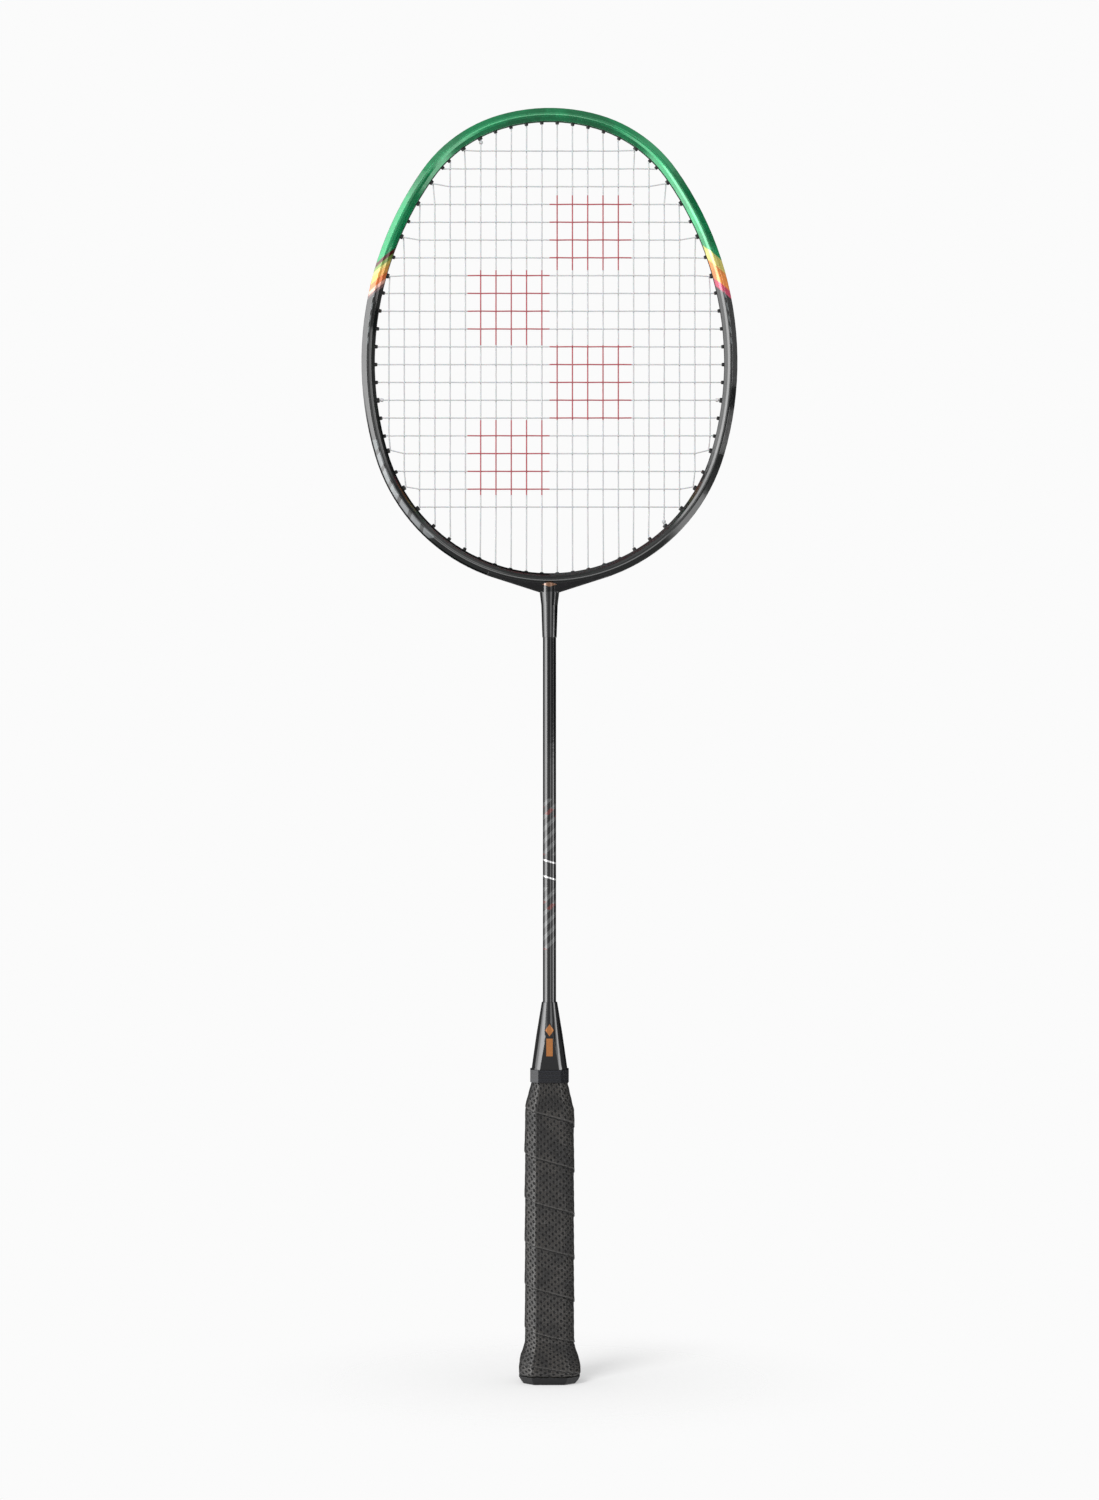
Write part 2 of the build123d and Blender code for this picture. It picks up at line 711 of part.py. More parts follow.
def finishing_band():
    """Glossy tape round the top end of the grip."""
    inner, outer = -band_clearance, -band_clearance - band_thickness
    return handle_loft(band_bottom, handle_length, outer) - handle_loft(band_bottom, handle_length, inner)


# ---------------------------------------------------------------- build

def build():
    holes = plan_holes()
    paths = {kind: string_path(holes, kind) for kind in ("main", "cross")}
    parts = {
        "head_frame": head_frame(holes),
        "tee_joint": tee_joint(holes),
        "throat_shell": throat_shell(),
        "shaft": shaft(),
        "cone_cap": cone_cap(),
        "handle_core": handle_core(),
        "butt_cap": butt_cap(),
        "under_tape": under_tape(),
        "grip_tape": grip_tape(),
        "finishing_band": finishing_band(),
        "main_string": sweep_string(paths["main"]),
        "cross_string": sweep_string(paths["cross"]),
        "string_knots": string_knots(holes, paths),
    }
    for zone in sorted({grommet_zone(hole) for hole in holes}):
        parts[zone] = Part() + [grommet(hole) for hole in holes if grommet_zone(hole) == zone]
    return parts


if __name__ == "__main__":
    os.makedirs("parts", exist_ok=True)
    for name, solid in build().items():
        export_step(solid, f"parts/{name}.step")
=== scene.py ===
"""Looks of the badminton racket: lacquered hoop, strings, cone and wrapped grip, in a pale studio."""

import math

import bpy
import numpy as np
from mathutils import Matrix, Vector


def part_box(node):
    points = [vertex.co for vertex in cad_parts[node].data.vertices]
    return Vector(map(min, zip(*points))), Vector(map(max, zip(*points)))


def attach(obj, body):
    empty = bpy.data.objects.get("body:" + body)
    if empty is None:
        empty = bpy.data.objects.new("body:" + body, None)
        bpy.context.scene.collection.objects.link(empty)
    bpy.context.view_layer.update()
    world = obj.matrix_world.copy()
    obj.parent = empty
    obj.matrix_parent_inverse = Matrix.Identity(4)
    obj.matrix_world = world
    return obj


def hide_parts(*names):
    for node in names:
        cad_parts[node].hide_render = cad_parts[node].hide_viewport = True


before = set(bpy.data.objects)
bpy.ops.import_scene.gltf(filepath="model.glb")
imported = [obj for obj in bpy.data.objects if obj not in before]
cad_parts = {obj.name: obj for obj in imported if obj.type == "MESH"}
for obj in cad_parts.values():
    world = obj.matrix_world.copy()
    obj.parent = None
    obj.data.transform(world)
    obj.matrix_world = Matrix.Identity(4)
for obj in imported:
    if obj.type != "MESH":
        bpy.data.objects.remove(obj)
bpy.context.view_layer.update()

MM = 0.001

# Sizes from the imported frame, in metres
head_low, head_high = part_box("head_frame")
grip_low, grip_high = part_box("grip_tape")
HEAD_MIDDLE_Z = (head_low.z + head_high.z) / 2
FLARE_WIDTH = grip_high.x - grip_low.x
FLARE_DEPTH = grip_high.y - grip_low.y
GRIP_TOP_Z = grip_high.z
GRIP_FOOT_Z = grip_low.z

# Handle sizes over the tape, as in the part
GRIP_WIDTH, GRIP_DEPTH = 26.8 * MM, 24.2 * MM
GRIP_TOP_WIDTH, GRIP_TOP_DEPTH = 19.7 * MM, 18.4 * MM
BUTT_WIDTH, BUTT_DEPTH = 27.0 * MM, 24.4 * MM
CORNER_FACET = 5.6 * MM
FLARE_HEIGHT = 7.0 * MM
FLARE_LENGTH = 16.0 * MM
TAPER_BOTTOM = 144.1 * MM
TAPER_LENGTH = 15.0 * MM
TAPE_THICKNESS = 1.55 * MM

# Wrapping of the grip
SEAM_HEIGHTS = -8.5, 8.5, 25.0, 48.3, 70.6, 93.6, 117.3, 141.4, 165.0, 188.5  # mm, on the middle of the front
TURN_PITCH = 23.5 * MM
RIDGE = 0.5 * MM            # how proud each turn's lower edge stands
RIDGE_FADE = 5.5 * MM       # how soon the ridge falls away up the turn
RIDGE_ROUND = 0.12 * MM     # how sharply it begins
SEAM_DIP = 0.35 * MM
SEAM_DIP_WIDTH = 0.9 * MM
# Width of the painted shadow line just under each turn's proud lower edge
SEAM_SHADOW_WIDTH = 0.6 * MM
# Painted highlight line along each turn's proud lower edge: how far above the edge it lies, and how wide it
# is
EDGE_HIGHLIGHT_MIDDLE, EDGE_HIGHLIGHT_WIDTH = 0.5 * MM, 0.45 * MM
PRICK_SPACING = 3.7 * MM
PRICK_RADIUS = 0.72 * MM
PRICK_DEPTH = 0.26 * MM
PRICK_MARGIN, PRICK_MARGIN_FADE = 0.6 * MM, 0.5 * MM    # bare skin beside a seam
PRICK_TURN_SHIFT = 0.37     # in steps of the spacing, from one turn to the next
WANDER = 0.10 * MM          # unevenness of wrapping by hand
SLEEVE_ROUND, SLEEVE_ROUND_DEPTH = 0.9 * MM, 0.5 * MM   # rounding of the sleeve's two ends

# Where a prick is dark, and where its rim is lightened as a painted highlight, as distances in steps of the
# spacing
PRICK_SHADE = 0.14, 0.24
RIM_INSIDE = 0.2, 0.3
RIM_OUTSIDE = 0.34, 0.46


# ---------------------------------------------------------------- node trees

def linear(red, green, blue):
    """A colour mixed on a screen from 0 to 255, as the linear colour that shaders take."""
    def part(value):
        value /= 255
        return value / 12.92 if value <= 0.04045 else ((value + 0.055) / 1.055) ** 2.4
    return (part(red), part(green), part(blue), 1.0)


class Tree:
    """Short calls for placing nodes in a tree and joining them."""

    def __init__(self, tree):
        self.tree = tree

    def feed(self, node, values):
        for key, value in values.items():
            socket = node.inputs[key]
            if isinstance(value, bpy.types.NodeSocket):
                self.tree.links.new(value, socket)
            else:
                socket.default_value = value
        return node

    def node(self, kind, values=None, **settings):
        made = self.tree.nodes.new("ShaderNode" + kind)
        for key, value in settings.items():
            setattr(made, key, value)
        return self.feed(made, values or {})

    def math(self, operation, *values):
        return self.node("Math", dict(enumerate(values)), operation=operation).outputs[0]

    def product(self, first, *others):
        for value in others:
            first = self.math("MULTIPLY", first, value)
        return first

    def remainder(self, value):
        """What is left of 1."""
        return self.math("SUBTRACT", 1.0, value)

    def size(self, value):
        """The value without its sign."""
        return self.math("ABSOLUTE", value)

    def rise(self, value, low, high):
        """0 below low, 1 above high, smooth between."""
        values = {0: value, 1: low, 2: high}
        return self.node("MapRange", values, interpolation_type="SMOOTHSTEP").outputs[0]

    def fall(self, value, low, high):
        """1 below low, 0 above high, smooth between."""
        return self.remainder(self.rise(value, low, high))

    def between(self, value, ends, soft):
        """1 between the ends, 0 beyond them."""
        return self.use(stretch, Value=value, Low=ends[0], High=ends[1], Soft=soft)["Mask"]

    def colour(self, share, first, second, how="MIX"):
        values = {0: share, 6: first, 7: second}
        return self.node("Mix", values, data_type="RGBA", blend_type=how).outputs[2]

    def blend(self, share, first, second):
        return self.node("Mix", {0: share, 2: first, 3: second}, data_type="FLOAT").outputs[0]

    def noise(self, where, scale, detail=2.0, rough=0.5):
        values = {"Vector": where, "Scale": scale, "Detail": detail, "Roughness": rough}
        return self.node("TexNoise", values).outputs[0]

    def place(self):
        """Where a point is in the racket's frame: the vector, x, y and z."""
        where = self.node("TexCoord").outputs["Object"]
        return (where, *self.node("SeparateXYZ", {0: where}).outputs)

    def use(self, group, **values):
        made = self.tree.nodes.new("ShaderNodeGroup")
        made.node_tree = group
        return self.feed(made, {key.replace("_", " "): value for key, value in values.items()}).outputs

    def bump(self, height, distance, strength=1.0, normal=None):
        values = {"Height": height, "Distance": distance, "Strength": strength}
        if normal is not None:
            values["Normal"] = normal
        return self.node("Bump", values).outputs[0]

    def ramp(self, value, stops):
        made = self.node("ValToRGB", {0: value})
        ramp = made.color_ramp
        ramp.interpolation = "LINEAR"
        while len(ramp.elements) < len(stops):
            ramp.elements.new(1.0)
        for element, (position, shade) in zip(ramp.elements, stops):
            element.position = position
            element.color = shade
        return made.outputs[0]


def effect(name, inputs, outputs, fill):
    """A shader node group: fill places its nodes and gives back one socket for each output."""
    group = bpy.data.node_groups.new(name, "ShaderNodeTree")
    for label, kind, value in inputs:
        socket = group.interface.new_socket(label, in_out="INPUT", socket_type="NodeSocket" + kind)
        if value is not None:
            socket.default_value = value
    for label, kind in outputs:
        group.interface.new_socket(label, in_out="OUTPUT", socket_type="NodeSocket" + kind)
    entry = group.nodes.new("NodeGroupInput")
    leave = group.nodes.new("NodeGroupOutput")
    made = fill(Tree(group), {label: entry.outputs[label] for label, _, _ in inputs})
    for (label, _), socket in zip(outputs, made):
        group.links.new(socket, leave.inputs[label])
    return group


def fill_stretch(t, i):
    low, high, soft = i["Low"], i["High"], i["Soft"]
    rising = t.rise(i["Value"], t.math("SUBTRACT", low, soft), t.math("ADD", low, soft))
    falling = t.rise(i["Value"], t.math("SUBTRACT", high, soft), t.math("ADD", high, soft))
    return [t.math("SUBTRACT", rising, falling)]


stretch = effect(
    "stretch_between",
    [("Value", "Float", 0.0), ("Low", "Float", 0.0), ("High", "Float", 1.0), ("Soft", "Float", 0.0002)],
    [("Mask", "Float")], fill_stretch)


def fill_bars(t, i):
    """Bars that repeat along one way and lean across it. Share is how much of each pitch is painted."""
    along = t.math("ADD", i["Along"], t.product(i["Across"], i["Lean"]))
    step = t.math("FRACT", t.math("DIVIDE", along, i["Pitch"]))
    edge = t.product(i["Share"], 0.06)
    begun = t.rise(step, 0.0, edge)
    ended = t.rise(step, i["Share"], t.math("ADD", i["Share"], edge))
    return [t.math("SUBTRACT", begun, ended)]


bars = effect(
    "leaning_bars",
    [("Along", "Float", 0.0), ("Across", "Float", 0.0), ("Lean", "Float", 0.0), ("Pitch", "Float", 0.01),
     ("Share", "Float", 0.5)],
    [("Mask", "Float")], fill_bars)


def fill_spots(t, i):
    """Distance to the nearest centre of a lattice whose every second row is shifted by half a step."""
    def offset(value, step, shift):
        cell = t.math("FRACT", t.math("ADD", t.math("DIVIDE", value, step), shift))
        return t.product(t.size(t.math("SUBTRACT", cell, 0.5)), step)
    distances = []
    for shift in (0.5, 0.0):
        across = offset(i["Across"], i["Column Step"], shift)
        along = offset(i["Along"], i["Row Step"], shift)
        square = t.math("ADD", t.product(across, across), t.product(along, along))
        distances.append(t.math("SQRT", square))
    return [t.math("MINIMUM", *distances)]


spots = effect(
    "staggered_spots",
    [("Across", "Float", 0.0), ("Along", "Float", 0.0), ("Column Step", "Float", 1.0),
     ("Row Step", "Float", 1.0)],
    [("Round", "Float")], fill_spots)


def fill_grain(t, i):
    fine = t.noise(i["Vector"], i["Scale"], 4.0, 0.6)
    broad = t.noise(i["Vector"], t.product(i["Scale"], 0.06), 3.0)
    pores = t.node("TexVoronoi", {"Vector": i["Vector"], "Scale": i["Scale"]}).outputs["Distance"]
    return [t.math("ADD", t.product(fine, 0.6), t.product(pores, 0.4)), broad]


grain = effect(
    "moulded_grain",
    [("Vector", "Vector", None), ("Scale", "Float", 1500.0)],
    [("Height", "Float"), ("Cloud", "Float")], fill_grain)


def fill_lacquer(t, i):
    """Small bright flakes under the clear coat, and the soft ripple of sprayed paint."""
    cells = t.node("TexVoronoi", {"Vector": i["Vector"], "Scale": i["Flake Scale"]}).outputs["Color"]
    flake = t.rise(t.node("SeparateColor", {0: cells}).outputs[0], 0.9, 1.0)
    return [flake, t.noise(i["Vector"], 380.0, 2.0), t.noise(i["Vector"], 70.0, 3.0)]


lacquer = effect(
    "sprayed_lacquer",
    [("Vector", "Vector", None), ("Flake Scale", "Float", 5000.0)],
    [("Flake", "Float"), ("Ripple", "Float"), ("Cloud", "Float")], fill_lacquer)


def fill_rub(t, i):
    """Where an outer edge is rubbed by handling: the rounded normal turns away from the flat one."""
    rounded = t.node("Bevel", {"Radius": i["Radius"]}, samples=4).outputs[0]
    flat = t.node("NewGeometry").outputs["Normal"]
    turned = t.node("VectorMath", {0: rounded, 1: flat}, operation="DOT_PRODUCT").outputs["Value"]
    edge = t.rise(t.remainder(turned), 0.01, 0.12)
    broken = t.rise(t.noise(i["Vector"], 420.0, 4.0, 0.7), 0.48, 0.68)
    return [t.product(edge, broken, i["Amount"]), rounded]


rub = effect(
    "edge_rub",
    [("Vector", "Vector", None), ("Radius", "Float", 0.0004), ("Amount", "Float", 0.4)],
    [("Rub", "Float"), ("Rounded", "Vector")], fill_rub)


def new_finish(name):
    material = bpy.data.materials.new(name)
    material.use_nodes = True
    return material, Tree(material.node_tree), material.node_tree.nodes["Principled BSDF"]


def paint(node_names, material):
    for name in node_names:
        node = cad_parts[name]
        node.data.materials.clear()
        node.data.materials.append(material)


# ---------------------------------------------------------------- lacquers

BLACK = linear(15, 15, 17)
SILVER = linear(150, 154, 157)
BLADE_GREEN = linear(2, 62, 46)
GREEN = 13, 160, 97
COAT = {"Specular IOR Level": 0.25, "Coat Weight": 0.9, "Coat IOR": 1.8, "Coat Roughness": 0.04}

# The fade from black to green slants across the hoop. Its heights are given where FADE_MIDDLE_X meets it
FADE_FOOT, FADE_TOP = 570 * MM, 610 * MM
FADE_SLANT = 0.8
FADE_MIDDLE_X = 88.5 * MM
FADE_SOFT = 0.35
BANDS_BEGIN = 0.255, 0.275      # shares of the fade from its foot to its top
GREEN_BEGINS = 0.60, 0.66
LEFT_BANDS = (
    (579.8, (122, 88, 88)), (581.4, (244, 184, 164)), (583.2, (236, 120, 50)), (586.2, (246, 176, 80)),
    (589.4, (226, 208, 112)), (591.2, (128, 160, 78)), (593.2, (92, 30, 26)), (595.3, GREEN))
RIGHT_BANDS = ((580.0, (206, 60, 96)), (583.5, (250, 150, 66)), (590.8, (238, 222, 120)), (596.2, GREEN))

# How far the normals of two facets lean outward from the middle of the head, as cosines
OUTER_FACET_LEAN = 0.42, 0.86
CREST_LEAN = -0.1, 0.42

# Marks of the hoop, from one height to another
STROKE_HEIGHTS = 549 * MM, 578 * MM
DASH_HEIGHTS = 447 * MM, 499 * MM
BLADE_HEIGHTS = 598 * MM, 646 * MM
STROKES = {"Lean": 1.2, "Pitch": 5.2 * MM, "Share": 0.55}
DASHES = {"Lean": 0.5, "Pitch": 8.6 * MM, "Share": 0.74}
BLADES = {"Lean": 1.7, "Pitch": 11 * MM, "Share": 0.42}
STROKES_LEAN_FROM, BLADES_LEAN_FROM = 95 * MM, 80 * MM      # out from the middle of the head
HOOP_RADIUS = 105 * MM      # a middling one, to measure along the hoop
MARK_STRENGTH = 0.6
BLADE_STRENGTH = 0.72

# The bare dark lip of the outer facet, low on the left: how far in Y it reaches, and how high it ends
LIP_DEPTH = 3.0 * MM, 3.5 * MM
LIP_TOP = 500 * MM, 530 * MM


def fade_stops(bands):
    """Ramp stops for black and then bands that begin at these heights in mm, each over a short stretch."""
    def share(level):
        return (level * MM - FADE_FOOT) / (FADE_TOP - FADE_FOOT)
    stops = [(0.0, BLACK)]
    below = BLACK
    for level, (red, green, blue) in bands:
        shade = linear(red, green, blue)
        stops += [(share(level - FADE_SOFT), below), (share(level + FADE_SOFT), shade)]
        below = shade
    return stops


def hoop_facets(t, where):
    """Masks for the outer facet and the crest."""
    middle = (0.0, 0.0, HEAD_MIDDLE_Z)
    from_middle = t.node("VectorMath", {0: where, 1: middle}, operation="SUBTRACT").outputs[0]
    outward = t.node("VectorMath", {0: from_middle}, operation="NORMALIZE").outputs[0]
    facing = t.node("NewGeometry").outputs["True Normal"]
    lean = t.node("VectorMath", {0: outward, 1: facing}, operation="DOT_PRODUCT").outputs["Value"]
    return t.between(lean, OUTER_FACET_LEAN, 0.02), t.between(lean, CREST_LEAN, 0.02)


def hoop_marks(t, place, side, outer_facet, crest):
    """Shares of plain silver strokes and dashes, and of darker blades in the green."""
    _, x, y, z = place
    strokes = t.use(bars, Along=z, Across=t.math("SUBTRACT", side, STROKES_LEAN_FROM), **STROKES)
    upper = t.product(strokes["Mask"], t.between(z, STROKE_HEIGHTS, 0.3 * MM), crest)
    turn = t.math("ARCTAN2", x, t.math("SUBTRACT", z, HEAD_MIDDLE_Z))
    dashes = t.use(bars, Along=t.product(turn, HOOP_RADIUS), Across=y, **DASHES)
    facets, left = t.math("MAXIMUM", outer_facet, crest), t.math("LESS_THAN", x, 0.0)
    lower = t.product(dashes["Mask"], t.between(z, DASH_HEIGHTS, 0.3 * MM), facets, left)
    blades = t.use(bars, Along=z, Across=t.math("SUBTRACT", side, BLADES_LEAN_FROM), **BLADES)
    bladed = t.product(blades["Mask"], t.between(z, BLADE_HEIGHTS, 3 * MM), crest, BLADE_STRENGTH)
    return t.product(t.math("MAXIMUM", upper, lower), MARK_STRENGTH), bladed


def frame_lacquer():
    """Metallic green above, a short fade of bright bands, then gloss black with plain silver marks."""
    material, t, shader = new_finish("frame_lacquer")
    where, x, y, z = place = t.place()
    side = t.size(x)
    slant = t.math("ADD", z, t.product(t.math("SUBTRACT", side, FADE_MIDDLE_X), FADE_SLANT))
    level = t.node("MapRange", {0: slant, 1: FADE_FOOT, 2: FADE_TOP}).outputs[0]
    left_fade, right_fade = (t.ramp(level, fade_stops(bands)) for bands in (LEFT_BANDS, RIGHT_BANDS))
    fade = t.colour(t.math("GREATER_THAN", x, 0.0), left_fade, right_fade)
    banded = t.rise(level, *BANDS_BEGIN)
    green_part = t.rise(level, *GREEN_BEGINS)

    lip = t.fall(t.size(y), *LIP_DEPTH)
    low_left = t.product(t.math("LESS_THAN", x, 0.0), t.fall(z, *LIP_TOP))
    coated = t.remainder(t.product(lip, low_left))
    mark, blade = hoop_marks(t, place, side, *hoop_facets(t, where))
    mark = t.product(mark, coated)

    coat = t.use(lacquer, Vector=where, Flake_Scale=5200.0)
    worn = t.use(rub, Vector=where, Radius=0.3 * MM, Amount=0.22)
    marked = t.colour(mark, t.colour(blade, fade, BLADE_GREEN), SILVER)
    patchy = t.product(t.rise(coat["Cloud"], 0.42, 0.62), 0.5)
    shaded = t.colour(patchy, marked, linear(120, 150, 140), "MULTIPLY")
    glint = t.product(coat["Flake"], t.blend(green_part, 0.05, 0.35))
    glinting = t.colour(glint, shaded, linear(150, 235, 190))
    metal = t.blend(green_part, t.product(banded, 0.45), 0.64)
    black_rough, green_rough = (t.blend(coat["Cloud"], *ends) for ends in ((0.1, 0.16), (0.17, 0.25)))
    surface = t.bump(coat["Ripple"], 0.03 * MM, 0.5, worn["Rounded"])
    t.feed(shader, COAT)
    t.feed(shader, {
        "Base Color": t.colour(t.product(worn["Rub"], coated), glinting, linear(120, 122, 120)),
        "Metallic": t.math("MAXIMUM", metal, t.product(mark, 0.3)),
        "Roughness": t.blend(green_part, black_rough, green_rough),
        "Specular IOR Level": t.blend(coated, 0.03, COAT["Specular IOR Level"]),
        "Coat Weight": t.blend(coated, 0.0, COAT["Coat Weight"]),
        "Normal": surface, "Coat Normal": surface})
    return material


def black_lacquer(name, mark_of):
    """Gloss black over carbon, with printed marks. mark_of gives the share and the colour of the mark."""
    material, t, shader = new_finish(name)
    where, x, y, z = t.place()
    coat = t.use(lacquer, Vector=where, Flake_Scale=6500.0)
    worn = t.use(rub, Vector=where, Radius=0.4 * MM, Amount=0.15)
    ground = t.colour(t.product(coat["Flake"], 0.06), BLACK, linear(120, 120, 126))
    share, shade = mark_of(t, x, y, z)
    base = t.colour(share, ground, shade)
    surface = t.bump(coat["Ripple"], 0.02 * MM, 0.5, worn["Rounded"])
    t.feed(shader, COAT)
    t.feed(shader, {
        "Base Color": t.colour(worn["Rub"], base, linear(90, 90, 92)),
        "Metallic": t.product(share, 0.5),
        "Roughness": t.blend(coat["Cloud"], 0.1, 0.18),
        "Normal": surface, "Coat Normal": surface})
    return material


THROAT_MARK_Z = head_low.z + 0.9 * MM
THROAT_MARK_HALF_HEIGHT = 1.3 * MM
SHAFT_STROKES = {"Lean": -1.0, "Pitch": 6.4 * MM, "Share": 0.42}
SHAFT_REDS = {"Lean": 0.3, "Pitch": 25 * MM, "Share": 0.16}
SHAFT_PAIR = {"Lean": 0.3, "Pitch": 8.6 * MM, "Share": 0.11}
UPPER_STROKES = 279 * MM, 309 * MM
LOWER_STROKES = 229 * MM, 262 * MM
PAIR_HEIGHTS = 264.5 * MM, 277.5 * MM
CONE_BAR = 173 * MM, 182.2 * MM
CONE_BAR_HALF_WIDTH = 1.7 * MM
CONE_LOZENGE_Z = 186.6 * MM
CONE_LOZENGE_HALF_HEIGHT = 3.2 * MM


def lozenge(t, x, z, middle_z, half_height, slope):
    """1 inside an upright lozenge whose sides fall by slope for each step along X."""
    rise = t.size(t.math("SUBTRACT", z, middle_z))
    run = t.product(t.size(x), slope)
    return t.math("LESS_THAN", t.math("ADD", rise, run), half_height)


def throat_mark(t, x, y, z):
    """A small plain orange lozenge on the middle of the throat, front and back."""
    inside = lozenge(t, x, z, THROAT_MARK_Z, THROAT_MARK_HALF_HEIGHT, 0.32)
    return t.product(inside, 0.85), linear(158, 116, 90)


def shaft_marks(t, x, y, z):
    """Two short runs of leaning grey and red strokes, with a pair of white ones between them."""
    front = t.math("LESS_THAN", y, 0.0)
    strokes, reds, pair = (t.use(bars, Along=z, Across=x, **kind)["Mask"]
                           for kind in (SHAFT_STROKES, SHAFT_REDS, SHAFT_PAIR))
    upper, lower = (t.between(z, heights, 0.3 * MM) for heights in (UPPER_STROKES, LOWER_STROKES))
    grey_share = t.product(strokes, t.math("ADD", upper, lower), 0.5)
    shade = t.colour(reds, linear(120, 122, 122), linear(140, 52, 46))
    white_share = t.product(pair, t.between(z, PAIR_HEIGHTS, 0.2 * MM))
    share = t.product(t.math("MAXIMUM", grey_share, white_share), front)
    return share, t.colour(white_share, shade, linear(238, 238, 238))


def cone_mark(t, x, y, z):
    """A plain bronze bar with a lozenge above it, on the front flat of the cone."""
    bar = t.product(t.between(z, CONE_BAR, 0.15 * MM), t.math("LESS_THAN", t.size(x), CONE_BAR_HALF_WIDTH))
    point = lozenge(t, x, z, CONE_LOZENGE_Z, CONE_LOZENGE_HALF_HEIGHT, 1.4)
    front = t.math("LESS_THAN", y, 0.0)
    brushed = t.noise(t.node("CombineXYZ", {0: t.product(x, 4.0), 2: z}).outputs[0], 900.0)
    share = t.product(t.math("MAXIMUM", bar, point), front)
    return share, t.colour(brushed, linear(176, 98, 42), linear(236, 160, 86))


# ---------------------------------------------------------------- plastics, strings, wood and metal

def grained_plastic(name, shade, rough, grain_scale, height):
    """Moulded plastic, a third lighter in patches and paler where its edges are rubbed."""
    material, t, shader = new_finish(name)
    where = t.place()[0]
    made = t.use(grain, Vector=where, Scale=grain_scale)
    worn = t.use(rub, Vector=where, Radius=0.3 * MM, Amount=0.2)
    lighter = tuple(part * 1.3 for part in shade[:3]) + (1.0,)
    base = t.colour(made["Cloud"], shade, lighter)
    t.feed(shader, {
        "Base Color": t.colour(worn["Rub"], base, linear(104, 104, 104)),
        "Roughness": t.blend(made["Height"], rough - 0.06, rough + 0.1),
        "Normal": t.bump(made["Height"], height, 0.6, worn["Rounded"])})
    return material


STENCIL_FOOT = 470 * MM
STENCIL_BLOCK_WIDTH, STENCIL_BLOCK_HEIGHT = 43.5 * MM, 39.75 * MM


def string_nylon():
    """White multifilament nylon with a fine spiral and a plain red checked stencil across the bed."""
    material, t, shader = new_finish("string_nylon")
    where, x, _, z = t.place()
    column = t.math("FLOOR", t.math("DIVIDE", x, STENCIL_BLOCK_WIDTH))
    row = t.math("FLOOR", t.math("DIVIDE", t.math("SUBTRACT", z, STENCIL_FOOT), STENCIL_BLOCK_HEIGHT))
    block = t.math("PINGPONG", t.math("ADD", column, row), 1.0)
    wide = t.math("LESS_THAN", t.size(x), STENCIL_BLOCK_WIDTH)
    tall = t.between(z, (STENCIL_FOOT, STENCIL_FOOT + 4 * STENCIL_BLOCK_HEIGHT), 0.2 * MM)
    patchy = t.blend(t.noise(where, 260.0, 3.0), 0.75, 1.0)
    ink = t.product(block, wide, tall, patchy)
    spiral = t.node("TexWave", {"Vector": where, "Scale": 520.0, "Distortion": 1.5, "Detail": 2.0},
                    bands_direction="DIAGONAL").outputs["Fac"]
    cloud = t.noise(where, 90.0, 2.0)
    nylon = t.colour(cloud, linear(196, 198, 200), linear(218, 219, 220))
    base = t.colour(t.product(spiral, 0.14), nylon, linear(150, 152, 156))
    t.feed(shader, {
        "Base Color": t.colour(ink, base, linear(178, 26, 50)),
        "Roughness": t.blend(spiral, 0.32, 0.46),
        "Subsurface Weight": 0.15, "Subsurface Scale": 0.3 * MM,
        "Normal": t.bump(spiral, 0.02 * MM, 0.6)})
    return material


def handle_wood():
    """Pale hardwood with long fibres up the handle."""
    material, t, shader = new_finish("handle_wood")
    _, x, y, z = t.place()
    stretched = t.node("CombineXYZ", {0: x, 1: y, 2: t.product(z, 0.08)}).outputs[0]
    rings = t.node("TexWave", {"Vector": stretched, "Scale": 190.0, "Distortion": 5.0, "Detail": 3.0},
                   wave_type="RINGS", rings_direction="Z").outputs["Fac"]
    fibre = t.noise(stretched, 2600.0, 4.0, 0.7)
    base = t.colour(rings, linear(214, 178, 128), linear(186, 142, 92))
    t.feed(shader, {
        "Base Color": t.colour(t.product(fibre, 0.4), base, linear(150, 108, 66)),
        "Roughness": t.blend(fibre, 0.55, 0.75),
        "Normal": t.bump(fibre, 0.08 * MM, 0.7)})
    return material


def tee_alloy():
    """Bare light alloy with drawn lines."""
    material, t, shader = new_finish("tee_alloy")
    where, x, y, z = t.place()
    drawn = t.node("CombineXYZ", {0: t.product(x, 6.0), 1: t.product(y, 6.0), 2: z}).outputs[0]
    lines = t.noise(drawn, 420.0, 4.0, 0.7)
    made = t.use(grain, Vector=where, Scale=900.0)
    base = t.colour(lines, linear(168, 170, 174), linear(206, 208, 210))
    t.feed(shader, {
        "Base Color": t.colour(t.product(made["Cloud"], 0.3), base, linear(140, 140, 142)),
        "Metallic": 1.0,
        "Roughness": t.blend(lines, 0.3, 0.5),
        "Normal": t.bump(lines, 0.02 * MM, 0.6)})
    return material


THREAD_PITCH = 0.8 * MM


def tape_film():
    """Pale double-sided tape with a fine woven carrier."""
    material, t, shader = new_finish("tape_film")
    where, x, y, z = t.place()
    round_core = t.product(t.math("ARCTAN2", x, y), 12 * MM)
    threads = [t.math("SINE", t.product(value, 2 * math.pi / THREAD_PITCH)) for value in (round_core, z)]
    cloth = t.product(*threads)
    turns = t.use(bars, Along=z, Across=round_core, Lean=0.28, Pitch=TURN_PITCH, Share=0.97)["Mask"]
    base = t.colour(t.rise(cloth, -1.0, 1.0), linear(206, 200, 182), linear(228, 224, 208))
    t.feed(shader, {
        "Base Color": t.colour(turns, linear(150, 144, 128), base),
        "Roughness": t.blend(t.noise(where, 300.0), 0.4, 0.6),
        "Normal": t.bump(cloth, 0.03 * MM, 0.5)})
    return material


